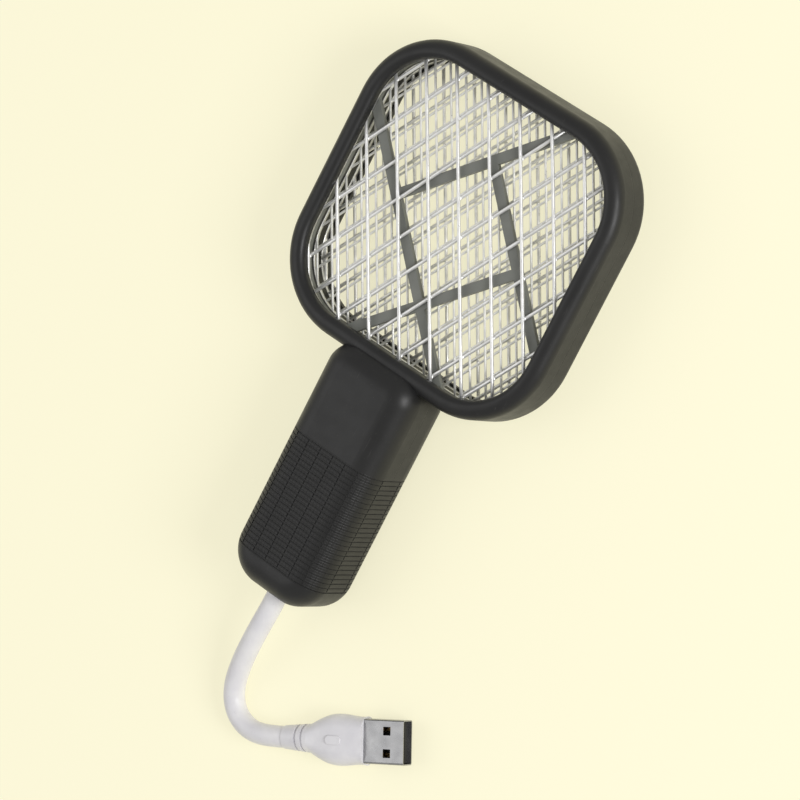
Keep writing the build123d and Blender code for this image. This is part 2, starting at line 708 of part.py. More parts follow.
with BuildPart() as storage_capacitor:
    with BuildSketch(level(BOARD_TOP, CAP_Y, CAP_X)):
        RectangleRounded(CAP_W, CAP_L, CAP_R)
    extrude(amount=TALL_H)
    fillet(storage_capacitor.faces().sort_by(Axis.Z)[-1].edges(), CAP_EDGE_R)
save(storage_capacitor, "storage_capacitor")

with BuildPart() as cell_pad:
    with BuildSketch(level(BOARD_TOP, CELL_END_Y + CELL_L / 2)):
        Rectangle(CELL_W - 2 * PAD_INSET, CELL_L - 2 * PAD_INSET)
    extrude(amount=PAD_T)
save(cell_pad, "cell_pad")

with BuildPart() as battery_cell:
    with BuildSketch(facing_tip(0, CELL_END_Y, CELL_Z)):
        RectangleRounded(CELL_W, CELL_T, CELL_R)
    extrude(amount=CELL_L)
save(battery_cell, "battery_cell")

with BuildPart() as battery_leads:
    for side in (-1, 1):
        lead_x = side * (CELL_W / 2 - CELL_LEAD_INSET)
        lead_y = CELL_END_Y - CELL_LEAD_REACH
        lead_points = (
            (lead_x, CELL_END_Y, CELL_Z),
            (lead_x, lead_y, CELL_Z),
            (lead_x, lead_y, BOARD_TOP),
        )
        add(lead(lead_points, LEAD_D))
save(battery_leads, "battery_leads")


def axial_part(x, y, radius, length):
    """A barrel lying under the board along Y, with a bent leg at each end."""
    z = BOARD_Z - radius - AXIAL_GAP
    with BuildPart() as part:
        with BuildSketch(facing_tip(x, y - length / 2, z)):
            Circle(radius)
        extrude(amount=length)
        with BuildSketch(facing_tip(x, y - length / 2 - AXIAL_REACH, z)):
            Circle(AXIAL_LEAD / 2)
        extrude(amount=length + 2 * AXIAL_REACH)
        for side in (-1, 1):
            leg_y = y + side * (length / 2 + AXIAL_REACH - AXIAL_LEAD / 2)
            with BuildSketch(level(z, leg_y, x)):
                Rectangle(AXIAL_LEAD, AXIAL_LEAD)
            extrude(amount=BOARD_Z - z)
    return part.part


with BuildPart() as rectifier_diodes:
    for inset in DIODES_FROM_BOARD_SIDE:
        add(axial_part(inset - BOARD_W / 2, Y_NECK - DIODES_FROM_NECK, DIODE_R, DIODE_L))
save(rectifier_diodes, "rectifier_diodes")

with BuildPart() as discharge_resistor:
    resistor_x = BOARD_W / 2 - RESISTOR_FROM_BOARD_SIDE
    add(axial_part(resistor_x, UNDER_Y, RESISTOR_R, RESISTOR_L))
save(discharge_resistor, "discharge_resistor")

with BuildPart() as charge_chip:
    chip_x = CHIP_FROM_BOARD_SIDE - BOARD_W / 2
    with BuildSketch(level(BOARD_Z - CHIP_H - CHIP_GAP, UNDER_Y, chip_x)):
        Rectangle(CHIP_W, CHIP_L)
    extrude(amount=CHIP_H)
    for side in (-1, 1):
        for i in range(4):
            leg_x = chip_x + side * (CHIP_W + CHIP_LEG_L * 0.8) / 2
            leg_y = UNDER_Y + (i - 1.5) * LEG_PITCH
            with BuildSketch(level(BOARD_Z - CHIP_LEG_W, leg_y, leg_x)):
                Rectangle(CHIP_LEG_L, CHIP_LEG_W)
            extrude(amount=CHIP_LEG_W)
save(charge_chip, "charge_chip")

with BuildPart() as switching_transistor:
    transistor_x = BOARD_W / 2 - TRANSISTOR_FROM_BOARD_SIDE
    transistor_y = Y_NECK - TRANSISTOR_FROM_NECK
    leg_z = BOARD_Z - TRANSISTOR_LEG_L
    with BuildSketch(level(leg_z - TRANSISTOR_H, transistor_y, transistor_x)):
        Circle(TRANSISTOR_R)
        with Locations((0, -TRANSISTOR_R - TRANSISTOR_FLAT)):
            Rectangle(2 * TRANSISTOR_R, 2 * TRANSISTOR_R, mode=Mode.SUBTRACT)
    extrude(amount=TRANSISTOR_H)
    for i in (-1, 0, 1):
        with BuildSketch(level(leg_z, transistor_y, transistor_x + i * LEG_PITCH)):
            Rectangle(TRANSISTOR_LEG, TRANSISTOR_LEG)
        extrude(amount=TRANSISTOR_LEG_L)
save(switching_transistor, "switching_transistor")

# ================================================================ push button
FLANGE_Z = WALL + LIFT
TACT_FACE_Z = FLANGE_Z + FLANGE_T + TACT_STEM_OUT

with BuildPart() as push_button:
    with BuildSketch(level(BUTTON_SUNK, BUTTON_Y)):
        SlotOverall(BUTTON_W, BUTTON_L)
    extrude(amount=FLANGE_Z - BUTTON_SUNK)
    fillet(push_button.faces().sort_by(Axis.Z)[0].edges(), BUTTON_EDGE_R)
    with BuildSketch(level(FLANGE_Z, BUTTON_Y)):
        SlotOverall(BUTTON_W + 2 * FLANGE_RIM, BUTTON_L + 2 * FLANGE_RIM)
    extrude(amount=FLANGE_T)
save(push_button, "push_button")

with BuildPart() as tact_switch_body:
    with BuildSketch(level(TACT_FACE_Z, BUTTON_Y)):
        RectangleRounded(TACT_W, TACT_W, TACT_R)
    extrude(amount=BOARD_Z - TACT_FACE_Z)
    with BuildSketch(level(TACT_FACE_Z, BUTTON_Y)):
        Circle(TACT_STEM_R + RUN)
    extrude(amount=TACT_BORE_DEPTH, mode=Mode.SUBTRACT)
save(tact_switch_body, "tact_switch_body")

with BuildPart() as tact_switch_stem:
    with BuildSketch(level(FLANGE_Z + FLANGE_T, BUTTON_Y)):
        Circle(TACT_STEM_R)
    extrude(amount=TACT_STEM_OUT + TACT_STEM_IN)
save(tact_switch_stem, "tact_switch_stem")

# ================================================================ power switch
PLATE_Z = WALL + LIFT
SWITCH_FACE_Z = PLATE_Z + KNOB_PLATE_T + SWITCH_GAP
SWITCH_Y = POWER_Y + POWER_TRAVEL / 2

with BuildPart() as power_knob:
    with BuildSketch(level(KNOB_SUNK, POWER_Y)):
        Rectangle(KNOB_W, KNOB_L)
    extrude(amount=PLATE_Z - KNOB_SUNK)
    for i in range(KNOB_RIDGES):
        ridge_y = POWER_Y + (i - (KNOB_RIDGES - 1) / 2) * 2 * KNOB_RIDGE_W
        with BuildSketch(level(KNOB_SUNK, ridge_y)):
            Rectangle(KNOB_W, KNOB_RIDGE_W)
        extrude(amount=KNOB_RIDGE_DEPTH, mode=Mode.SUBTRACT)
    plate_l = KNOB_L + 2 * POWER_TRAVEL
    with BuildSketch(level(PLATE_Z, POWER_Y)):
        Rectangle(KNOB_PLATE_W, plate_l)
    extrude(amount=KNOB_PLATE_T)
    with BuildSketch(level(PLATE_Z + KNOB_PLATE_T - LEVER_SEAT, POWER_Y)):
        Rectangle(LEVER_W, LEVER_W)
    extrude(amount=LEVER_SEAT, mode=Mode.SUBTRACT)
save(power_knob, "power_knob")

with BuildPart() as slide_switch_lever:
    lever_z = PLATE_Z + KNOB_PLATE_T - LEVER_SEAT
    with BuildSketch(level(lever_z, POWER_Y)):
        Rectangle(LEVER_W, LEVER_W)
    extrude(amount=SWITCH_FACE_Z + LEVER_IN - lever_z)
save(slide_switch_lever, "slide_switch_lever")

with BuildPart() as slide_switch_body:
    with BuildSketch(level(SWITCH_FACE_Z, SWITCH_Y)):
        Rectangle(SWITCH_W, SWITCH_L)
    extrude(amount=BOARD_Z - SWITCH_FACE_Z)
    with BuildSketch(level(SWITCH_FACE_Z, SWITCH_Y)):
        Rectangle(LEVER_W + 2 * SWITCH_SKIRT, LEVER_W + POWER_TRAVEL + 2 * SWITCH_SKIRT)
    extrude(amount=LEVER_IN + SWITCH_SKIRT, mode=Mode.SUBTRACT)
save(slide_switch_body, "slide_switch_body")

# ================================================================ indicator
with BuildPart() as indicator_led:
    with BuildSketch(level(LED_SUNK, LED_Y)):
        Circle(LED_R)
    extrude(amount=BOARD_Z - LED_SUNK)
    fillet(indicator_led.faces().sort_by(Axis.Z)[0].edges(), LED_R * 0.8)
    with BuildSketch(level(BOARD_Z - LED_FLANGE_H, LED_Y)):
        Circle(LED_FLANGE_R)
    extrude(amount=LED_FLANGE_H)
save(indicator_led, "indicator_led")

# ================================================================ case screws
with BuildPart() as case_screws:
    for screw_y in SCREW_YS:
        for side in (-1, 1):
            screw_x = side * SCREW_X
            with BuildSketch(level(SCREW_SEAT - SCREW_HEAD_H, screw_y, screw_x)):
                Circle(SCREW_HEAD_R)
            extrude(amount=SCREW_HEAD_H)
            with BuildSketch(level(SCREW_SEAT, screw_y, screw_x)):
                Circle(SCREW_R)
            extrude(amount=SCREW_L)
            with BuildSketch(level(SCREW_SEAT - SCREW_HEAD_H, screw_y, screw_x)):
                Rectangle(SCREW_CROSS_L, SCREW_CROSS_W)
                Rectangle(SCREW_CROSS_W, SCREW_CROSS_L)
            extrude(amount=SCREW_CROSS_DEPTH, mode=Mode.SUBTRACT)
save(case_screws, "case_screws")

# ================================================================ lead and its bushing
with BuildPart() as cord_bushing:
    with BuildSketch(facing_tip(0, Y_END, MID_Z)):
        Circle(BUSH_R)
    extrude(amount=WALL)
    with BuildSketch(facing_tip(0, Y_END + WALL, MID_Z)):
        Circle(BUSH_FLANGE_R)
    extrude(amount=BUSH_FLANGE_T)
    with BuildSketch(facing_tip(0, Y_END, MID_Z)):
        Circle(CORD_D / 2)
    extrude(amount=WALL + BUSH_FLANGE_T, mode=Mode.SUBTRACT)
save(cord_bushing, "cord_bushing")

with BuildPart() as cord_clamp:
    with BuildSketch(level(WALL, CLAMP_Y)):
        Rectangle(CLAMP_W, CLAMP_L)
    extrude(amount=HANDLE_T - 2 * WALL)
    with BuildSketch(facing_tip(0, CLAMP_Y - CLAMP_L / 2, MID_Z)):
        Circle(CORD_D / 2)
    extrude(amount=CLAMP_L, mode=Mode.SUBTRACT)
save(cord_clamp, "cord_clamp")

with BuildPart() as supply_leads:
    for side in (-1, 1):
        lead_x = side * LEAD_D
        land_y = BOARD_END_Y + LEAD_FROM_EDGE
        lead_points = (
            (lead_x, CORD_START_Y, MID_Z),
            (lead_x, land_y, MID_Z),
            (lead_x, land_y, BOARD_TOP),
        )
        add(lead(lead_points, LEAD_D))
save(supply_leads, "supply_leads")

# The route of the lead: out of the handle, down to the table and round into the plug.
CORD_ROUTE = (
    (0.0, CORD_START_Y, MID_Z),
    (0.0, Y_END - 2.0, MID_Z),
    (-1.6, Y_END - 14.3, 9.9),
    (-3.5, Y_END - 25.7, 6.2),
    (-3.2, Y_END - 33.7, 3.8),
    (0.6, Y_END - 38.7, FLOOR_Z + 0.1),
    (6.8, Y_END - 40.1, FLOOR_Z + 0.5),
    (13.2, Y_END - 38.0, PLUG_T / 2),
    (18.4, Y_END - 35.0, PLUG_T / 2),
)


def bend_radii(route):
    """For each corner, as large an arc as its two runs leave room for."""
    radii = []
    for before, corner, after in zip(route, route[1:], route[2:]):
        run_in = Vector(*corner) - Vector(*before)
        run_out = Vector(*after) - Vector(*corner)
        half_turn = math.radians(run_in.get_angle(run_out)) / 2
        radii.append(0.45 * min(run_in.length, run_out.length) / math.tan(half_turn))
    return radii


CORD_RADII = bend_radii(CORD_ROUTE)
print("cord radii", [round(radius, 1) for radius in CORD_RADII])

with BuildPart() as usb_cord:
    with BuildLine() as cord_path:
        FilletPolyline(*CORD_ROUTE, radius=CORD_RADII)
    with BuildSketch(Plane(cord_path.line @ 0, z_dir=cord_path.line % 0)):
        Circle(CORD_D / 2)
    sweep(path=cord_path.line)
save(usb_cord, "usb_cord")
cord_length = sum(edge.length for edge in cord_path.edges())
cord_volume = math.pi * CORD_D**2 / 4 * cord_length
print("cord length", round(cord_length, 2))
print("cord volume over section times length", round(usb_cord.part.volume / cord_volume, 4))

# ================================================================ USB plug
plug_start = Vector(*CORD_ROUTE[-1])
plug_yaw = math.atan2(
    CORD_ROUTE[-1][1] - CORD_ROUTE[-2][1],
    CORD_ROUTE[-1][0] - CORD_ROUTE[-2][0],
)
AHEAD = Vector(math.cos(plug_yaw), math.sin(plug_yaw), 0)
ACROSS = Vector(-math.sin(plug_yaw), math.cos(plug_yaw), 0)


def plug_plane(along, up=0.0, across=0.0):
    """A plane across the plug, that far along it: local x is across, local y is up."""
    origin = plug_start + AHEAD * along + ACROSS * across + Vector(0, 0, up)
    return Plane(origin=origin, x_dir=ACROSS, z_dir=AHEAD)


with BuildPart() as usb_overmould:
    sections = (
        (NECK_L, 2 * NECK_R, 2 * NECK_R),
        (NECK_L + 2.5, PLUG_W - 3.2, PLUG_T - 0.9),
        (NECK_L + 6.5, PLUG_W - 0.3, PLUG_T - 0.3),
        (PLUG_L - 4.0, PLUG_W - 0.5, PLUG_T - 0.4),
        (PLUG_L, USB_W + 1.2, USB_H + 2.8),
    )
    for along, width, thick in sections:
        with BuildSketch(plug_plane(along)):
            RectangleRounded(width, thick, min(width, thick) / 2 - 0.05)
    loft()
    for along, radius in ((0, NECK_START_R), (NECK_L, NECK_R)):
        with BuildSketch(plug_plane(along)):
            Circle(radius)
    loft(ruled=True)
    for groove_at in NECK_GROOVES_AT:
        local_r = NECK_START_R + (NECK_R - NECK_START_R) * groove_at / NECK_L
        with BuildSketch(plug_plane(groove_at)):
            Circle(NECK_R + 1)
            Circle(local_r - NECK_GROOVE_DEPTH, mode=Mode.SUBTRACT)
        extrude(amount=NECK_GROOVE, mode=Mode.SUBTRACT)
    bump_origin = plug_start + AHEAD * PLUG_BUMP_AT
    with BuildSketch(Plane(origin=bump_origin, x_dir=AHEAD, z_dir=(0, 0, 1))):
        SlotOverall(PLUG_BUMP_L, PLUG_BUMP_W)
    extrude(amount=PLUG_T / 2 + PLUG_BUMP_H)
    fillet(usb_overmould.faces().sort_by(Axis.Z)[-1].edges(), PLUG_BUMP_H * 0.8)
    with BuildSketch(plug_plane(PLUG_L - USB_SUNK)):
        RectangleRounded(USB_W, USB_H, 0.6)
    extrude(amount=USB_SUNK, mode=Mode.SUBTRACT)
save(usb_overmould, "usb_overmould")

with BuildPart() as usb_shell:
    with BuildSketch(plug_plane(PLUG_L - USB_SUNK)):
        RectangleRounded(USB_W, USB_H, 0.6)
        RectangleRounded(USB_W - 2 * USB_SHEET, USB_H - 2 * USB_SHEET, 0.3, mode=Mode.SUBTRACT)
    extrude(amount=USB_SUNK + USB_L)
    hole_at = PLUG_L + USB_L - USB_HOLE_FROM_TIP - USB_HOLE / 2
    for side in (-1, 1):
        with BuildSketch(plug_plane(hole_at, -USB_H / 2, side * USB_HOLE_X)):
            with Locations((0, USB_H / 2)):
                Rectangle(USB_HOLE, USB_H + 1)
        extrude(amount=USB_HOLE, mode=Mode.SUBTRACT)
save(usb_shell, "usb_shell")

insert_z = -(USB_H / 2 - USB_SHEET - TONGUE_PLASTIC_T / 2)
with BuildPart() as usb_insert:
    with BuildSketch(plug_plane(PLUG_L - USB_SUNK, insert_z)):
        RectangleRounded(USB_W - 2 * USB_SHEET - 2 * FIT, TONGUE_PLASTIC_T, 0.3)
    extrude(amount=USB_SUNK + USB_L - TONGUE_SETBACK)
save(usb_insert, "usb_insert")

with BuildPart() as usb_contacts:
    pad_z = insert_z + TONGUE_PLASTIC_T / 2 + CONTACT_PAD_T / 2
    for i in range(4):
        across = (i - 1.5) * CONTACT_PITCH
        with BuildSketch(plug_plane(PLUG_L - USB_SUNK + 1, pad_z, across)):
            Rectangle(CONTACT_PAD_W, CONTACT_PAD_T)
        extrude(amount=USB_SUNK + USB_L - TONGUE_SETBACK - 2)
save(usb_contacts, "usb_contacts")
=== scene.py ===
import math
import random

import bmesh
import bpy
from mathutils import Matrix, Vector


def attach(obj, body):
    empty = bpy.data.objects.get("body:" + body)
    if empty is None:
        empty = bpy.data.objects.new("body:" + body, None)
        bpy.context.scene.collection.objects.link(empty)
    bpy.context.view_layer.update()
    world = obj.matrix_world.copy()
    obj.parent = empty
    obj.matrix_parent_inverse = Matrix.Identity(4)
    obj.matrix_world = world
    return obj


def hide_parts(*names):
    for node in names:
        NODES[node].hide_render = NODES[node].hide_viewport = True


MM = 0.001
SEED = 4117
BAND_WIDTH = 0.314  # of the wave texture, at a scale of 1

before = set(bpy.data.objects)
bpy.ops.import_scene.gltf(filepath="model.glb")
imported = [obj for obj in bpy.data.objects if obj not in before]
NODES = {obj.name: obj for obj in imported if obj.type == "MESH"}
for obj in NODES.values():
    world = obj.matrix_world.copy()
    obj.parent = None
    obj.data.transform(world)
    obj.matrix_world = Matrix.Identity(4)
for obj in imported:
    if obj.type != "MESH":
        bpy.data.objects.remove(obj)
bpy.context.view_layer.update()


# ---------------------------------------------------------------- node material helpers
class Paint:
    """A Principled material, built node by node in the object's own coordinates."""

    def __init__(self, name, rough=0.5, metal=0.0):
        self.mat = bpy.data.materials.new(name)
        self.mat.use_nodes = True
        self.tree = self.mat.node_tree
        self.tree.nodes.clear()
        self.out = self.add("ShaderNodeOutputMaterial")
        self.shader = self.add("ShaderNodeBsdfPrincipled")
        self.link(self.shader.outputs["BSDF"], self.out.inputs["Surface"])
        self.shader.inputs["Roughness"].default_value = rough
        self.shader.inputs["Metallic"].default_value = metal
        self.coords = self.add("ShaderNodeTexCoord").outputs["Object"]

    def add(self, kind):
        return self.tree.nodes.new(kind)

    def link(self, source, target):
        self.tree.links.new(source, target)

    def value(self, name, number):
        self.shader.inputs[name].default_value = number

    def stretched(self, stretch):
        """The object's coordinates, multiplied by stretch along each axis."""
        if not stretch:
            return self.coords
        mapping = self.add("ShaderNodeMapping")
        mapping.inputs["Scale"].default_value = stretch
        self.link(self.coords, mapping.inputs["Vector"])
        return mapping.outputs["Vector"]

    def noise(self, size, detail=2.0, rough=0.5, stretch=None):
        """Noise whose features are about size mm across."""
        vector = self.stretched(stretch)
        node = self.add("ShaderNodeTexNoise")
        node.inputs["Scale"].default_value = 1.0 / (size * MM)
        node.inputs["Detail"].default_value = detail
        node.inputs["Roughness"].default_value = rough
        self.link(vector, node.inputs["Vector"])
        return node.outputs["Fac"]

    def voronoi(self, size, stretch=None):
        """Distance from the middle of cells about size mm across."""
        vector = self.stretched(stretch)
        node = self.add("ShaderNodeTexVoronoi")
        node.inputs["Scale"].default_value = 1.0 / (size * MM)
        self.link(vector, node.inputs["Vector"])
        return node.outputs["Distance"]

    def spread(self, source, low, high, to_low=0.0, to_high=1.0):
        """Maps low..high of a value to to_low..to_high, clamped."""
        node = self.add("ShaderNodeMapRange")
        node.inputs["From Min"].default_value = low
        node.inputs["From Max"].default_value = high
        node.inputs["To Min"].default_value = to_low
        node.inputs["To Max"].default_value = to_high
        self.link(source, node.inputs["Value"])
        return node.outputs["Result"]

    def mix(self, amount, first, second):
        """Mixes two colours, each a tuple or a socket."""
        node = self.add("ShaderNodeMix")
        node.data_type = "RGBA"
        self.link(amount, node.inputs["Factor"])
        for socket, colour in ((node.inputs["A"], first), (node.inputs["B"], second)):
            if isinstance(colour, tuple):
                socket.default_value = (*colour, 1.0)
            else:
                self.link(colour, socket)
        return node.outputs["Result"]

    def maths(self, operation, first, second=None):
        """One Math node, on one or two values, each a number or a socket."""
        node = self.add("ShaderNodeMath")
        node.operation = operation
        for socket, item in zip(node.inputs, (first, second)):
            if item is None:
                continue
            if isinstance(item, (int, float)):
                socket.default_value = item
            else:
                self.link(item, socket)
        return node.outputs["Value"]

    def colour(self, socket):
        self.link(socket, self.shader.inputs["Base Color"])

    def roughness(self, socket):
        self.link(socket, self.shader.inputs["Roughness"])

    def bump(self, height, depth, strength=1.0, under=None):
        """Raises the surface by height times depth mm."""
        node = self.add("ShaderNodeBump")
        node.inputs["Strength"].default_value = strength
        node.inputs["Distance"].default_value = depth * MM
        self.link(height, node.inputs["Height"])
        if under is not None:
            self.link(under, node.inputs["Normal"])
        self.link(node.outputs["Normal"], self.shader.inputs["Normal"])
        return node.outputs["Normal"]


def moulded(name, low, high, rough, grain=0.16):
    """Injection-moulded plastic: fine spark-eroded grain, faint flow mottling, handling sheen."""
    p = Paint(name, rough)
    p.value("Specular IOR Level", 0.5)
    mottle = p.noise(9.0, 3.0)
    p.colour(p.mix(p.spread(mottle, 0.3, 0.7), low, high))
    touched = p.noise(5.0, 4.0, 0.6)
    p.roughness(p.spread(touched, 0.3, 0.7, rough - 0.05, rough + 0.06))
    fine = p.noise(grain, 2.0, 0.6)
    wave = p.bump(p.noise(6.0, 1.0), 0.05, 0.35)
    p.bump(fine, 0.02, 0.5, wave)
    return p.mat


def brushed(name, low, high, rough, stretch, size=0.3):
    """Rolled or drawn metal with fine lines along one way."""
    p = Paint(name, rough, 1.0)
    lines = p.noise(size, 3.0, 0.6, stretch)
    stain = p.noise(3.0, 3.0)
    p.colour(p.mix(p.spread(stain, 0.3, 0.7), low, high))
    p.roughness(p.spread(lines, 0.3, 0.7, rough - 0.07, rough + 0.08))
    p.bump(lines, 0.004, 0.6)
    return p.mat


def assign(node, mat):
    """Gives a CAD node one material all over."""
    obj = NODES[node]
    obj.data.materials.clear()
    obj.data.materials.append(mat)
    for polygon in obj.data.polygons:
        polygon.material_index = 0


# ---------------------------------------------------------------- camera
VIEW_RIGHT = Vector((0.7302, 0.4423, -0.5210))
VIEW_UP = Vector((-0.4975, 0.8666, 0.0380))
VIEW_BACK = Vector((0.4682, 0.2311, 0.8529))  # from the object towards the camera
VIEW_DISTANCE = 1.0807
AIM = Vector((0.0, -0.0087, 0.00325)) - 0.001865 * VIEW_RIGHT - 0.007107 * VIEW_UP

camera_data = bpy.data.cameras.new("camera")
camera = bpy.data.objects.new("camera", camera_data)
bpy.context.scene.collection.objects.link(camera)
camera_data.lens = 181.2
camera_data.sensor_width = 36.0
camera_data.clip_start = 0.01
camera_data.clip_end = 20.0
turn = Matrix((VIEW_RIGHT, VIEW_UP, VIEW_BACK)).transposed().to_4x4()
camera.matrix_world = Matrix.Translation(AIM + VIEW_DISTANCE * VIEW_BACK) @ turn
bpy.context.scene.camera = camera

# ---------------------------------------------------------------- cord
CORD_D = 6.0
CORD_POINTS = (  # mm, from inside the handle's end to the plug
    (0, -66.8, 11.5), (0, -79.3, 11.5), (-1.6, -91.6, 9.9), (-3.5, -103, 6.2), (-3.2, -111, 3.8),
    (0.6, -116.0, 3.1), (6.8, -117.4, 3.5), (13.2, -115.3, 4.25), (18.4, -112.3, 4.25),
)

curve = bpy.data.curves.new("usb_lead", "CURVE")
curve.dimensions = "3D"
spline = curve.splines.new("NURBS")
spline.points.add(len(CORD_POINTS) - 1)
for point, place in zip(spline.points, CORD_POINTS):
    point.co = (*(v * MM for v in place), 1.0)
    point.radius = CORD_D / 2 * MM  # the box of a curve is its points' box plus this
spline.order_u = 3
spline.use_endpoint_u = True
spline.resolution_u = 12
curve.bevel_depth = 1.0  # times each point's radius
curve.bevel_resolution = 8
curve.use_fill_caps = True
usb_lead = bpy.data.objects.new("usb_lead", curve)
bpy.context.scene.collection.objects.link(usb_lead)
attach(usb_lead, "case")
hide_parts("usb_cord")


# ---------------------------------------------------------------- mesh helpers
def new_object(name, bm, mat, smooth=True):
    """Turns a bmesh into an object with one material."""
    mesh = bpy.data.meshes.new(name)
    bmesh.ops.recalc_face_normals(bm, faces=bm.faces)
    bm.to_mesh(mesh)
    bm.free()
    for polygon in mesh.polygons:
        polygon.use_smooth = smooth
    mesh.materials.append(mat)
    obj = bpy.data.objects.new(name, mesh)
    bpy.context.scene.collection.objects.link(obj)
    return obj


def tube(bm, points, radius, sides=10):
    """A closed round tube through points that lie nearly in line."""
    along = (points[-1] - points[0]).normalized()
    across = along.orthogonal().normalized()
    other = along.cross(across)
    rings = []
    for p in points:
        ring = []
        for k in range(sides):
            a = 2 * math.pi * k / sides
            ring.append(bm.verts.new(p + radius * (math.cos(a) * across + math.sin(a) * other)))
        rings.append(ring)
    for low, high in zip(rings, rings[1:]):
        for k in range(sides):
            bm.faces.new((low[k], low[(k + 1) % sides], high[(k + 1) % sides], high[k]))
    bm.faces.new(rings[0][::-1])
    bm.faces.new(rings[-1])


def rounded_outline(width, length, radius, steps=10):
    """Points of a rounded rectangle about the origin, anticlockwise."""
    points = []
    for corner in range(4):
        cx = (width / 2 - radius) * (1 if corner in (0, 3) else -1)
        cy = (length / 2 - radius) * (1 if corner in (0, 1) else -1)
        for k in range(steps + 1):
            a = math.pi / 2 * (corner + k / steps)
            points.append((cx + radius * math.cos(a), cy + radius * math.sin(a)))
    return points


def inside_rounded(x, y, width, length, radius):
    """Whether a point is in a rounded rectangle about the origin."""
    dx = max(abs(x) - (width / 2 - radius), 0.0)
    dy = max(abs(y) - (length / 2 - radius), 0.0)
    return math.hypot(dx, dy) <= radius and abs(x) <= width / 2 and abs(y) <= length / 2


# ---------------------------------------------------------------- grids of round wire
HEAD_W, HEAD_L, HEAD_R = 88.0, 86.0, 24.0
HEAD_Y = 34.3
GRID_EDGE = 2.15  # from the outside of the rim to the steel band
BAND_IN = 4.4  # and to the inside of that band
WIRE_SETBACK = 0.4
WIRE_ANGLE = 32.0  # of each layer to the Y axis
OUTER_WIRE, OUTER_PITCH, OUTER_SHIFTS = 1.0, 9.45, (2.7, 1.3)
INNER_WIRE, INNER_PITCH, INNER_SHIFTS = 0.7, 4.725, (0.6, 1.6)
STACK_BOTTOM, STACK_TOP = 6.5, 16.5
OUTER_T = 1.85
INNER_LOW, INNER_HIGH = 10.875, 12.125
WELD_R = 0.62
WIRE_BOW = 0.12  # most that a wire bows sideways
WIRE_POINTS = 9
SHORTEST_WIRE = 4.0
SEARCH_STEP, SEARCH_REACH = 0.1, 700  # along a wire's line, either way from its middle


def wire_lines(pitch, shift, angle, edge):
    """Start and end of each wire of a layer, about the head's centre, in mm."""
    lean = math.radians(angle)
    width, length, radius = HEAD_W - 2 * edge, HEAD_L - 2 * edge, HEAD_R - edge
    way = (math.sin(lean), math.cos(lean))
    lines = []
    count = int(math.hypot(HEAD_W, HEAD_L) / 2 / pitch) + 1
    for i in range(-count, count + 1):
        across = shift + i * pitch
        ox, oy = across * math.cos(lean), -across * math.sin(lean)
        steps = [s * SEARCH_STEP for s in range(-SEARCH_REACH, SEARCH_REACH + 1)]
        hits = [s for s in steps
                if inside_rounded(ox + s * way[0], oy + s * way[1], width, length, radius)]
        if hits and hits[-1] - hits[0] > SHORTEST_WIRE:
            lines.append(((ox, oy), way, hits[0], hits[-1]))
    return lines


def add_wires(bm, rng, wire, layer, edge):
    """The wires of one layer, each a little bowed."""
    pitch, shift, angle, z = layer
    for (ox, oy), way, start, end in wire_lines(pitch, shift, angle, edge):
        bow = rng.uniform(-WIRE_BOW, WIRE_BOW)
        points = []
        for k in range(WIRE_POINTS):
            t = k / (WIRE_POINTS - 1)
            s = start + (end - start) * t
            push = bow * math.sin(math.pi * t)
            x = ox + s * way[0] + push * way[1]
            y = oy + s * way[1] - push * way[0]
            points.append(Vector((x, y + HEAD_Y, z)) * MM)
        tube(bm, points, wire / 2 * MM)


def add_welds(bm, rng, layers, edge, weld_r):
    """A flattened nugget where each wire of one layer crosses one of the other."""
    first, second = layers
    middle = (first[3] + second[3]) / 2
    for (ax, ay), way_a, start_a, end_a in wire_lines(*first[:3], edge):
        for (bx, by), way_b, start_b, end_b in wire_lines(*second[:3], edge):
            cross = way_a[0] * way_b[1] - way_a[1] * way_b[0]
            s = ((bx - ax) * way_b[1] - (by - ay) * way_b[0]) / cross
            t = ((bx - ax) * way_a[1] - (by - ay) * way_a[0]) / cross
            if not (start_a < s < end_a and start_b < t < end_b):
                continue
            x, y = ax + s * way_a[0], ay + s * way_a[1] + HEAD_Y
            size = weld_r * rng.uniform(0.85, 1.15) * MM
            shape = Matrix.Diagonal((size, 1.25 * size, 0.55 * size, 1))
            spin = Matrix.Rotation(rng.uniform(0, math.pi), 4, "Z")
            place = Matrix.Translation(Vector((x, y, middle)) * MM)
            bmesh.ops.create_icosphere(bm, subdivisions=2, radius=1.0, matrix=place @ spin @ shape)


def add_band(bm, low, high):
    """The flat steel band round a grid."""
    outer = rounded_outline(HEAD_W - 2 * GRID_EDGE, HEAD_L - 2 * GRID_EDGE, HEAD_R - GRID_EDGE)
    inner = rounded_outline(HEAD_W - 2 * BAND_IN, HEAD_L - 2 * BAND_IN, HEAD_R - BAND_IN)
    loops = []
    for outline, z in ((outer, low), (outer, high), (inner, high), (inner, low)):
        loops.append([bm.verts.new(Vector((x, y + HEAD_Y, z)) * MM) for x, y in outline])
    for first, second in zip(loops, loops[1:] + loops[:1]):
        for k in range(len(first)):
            m = (k + 1) % len(first)
            bm.faces.new((first[k], first[m], second[m], second[k]))


def wire_grid(name, node, mat, wire, layers, low, high, weld_r=0.0):
    """A welded grid of round wires in its band; layers are (pitch, shift, angle, z)."""
    rng = random.Random(SEED + len(name))
    bm = bmesh.new()
    edge = GRID_EDGE + WIRE_SETBACK
    for layer in layers:
        add_wires(bm, rng, wire, layer, edge)
    if weld_r:
        add_welds(bm, rng, layers, edge, weld_r)
    add_band(bm, low, high)
    obj = new_object(name, bm, mat)
    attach(obj, "case")
    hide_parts(node)


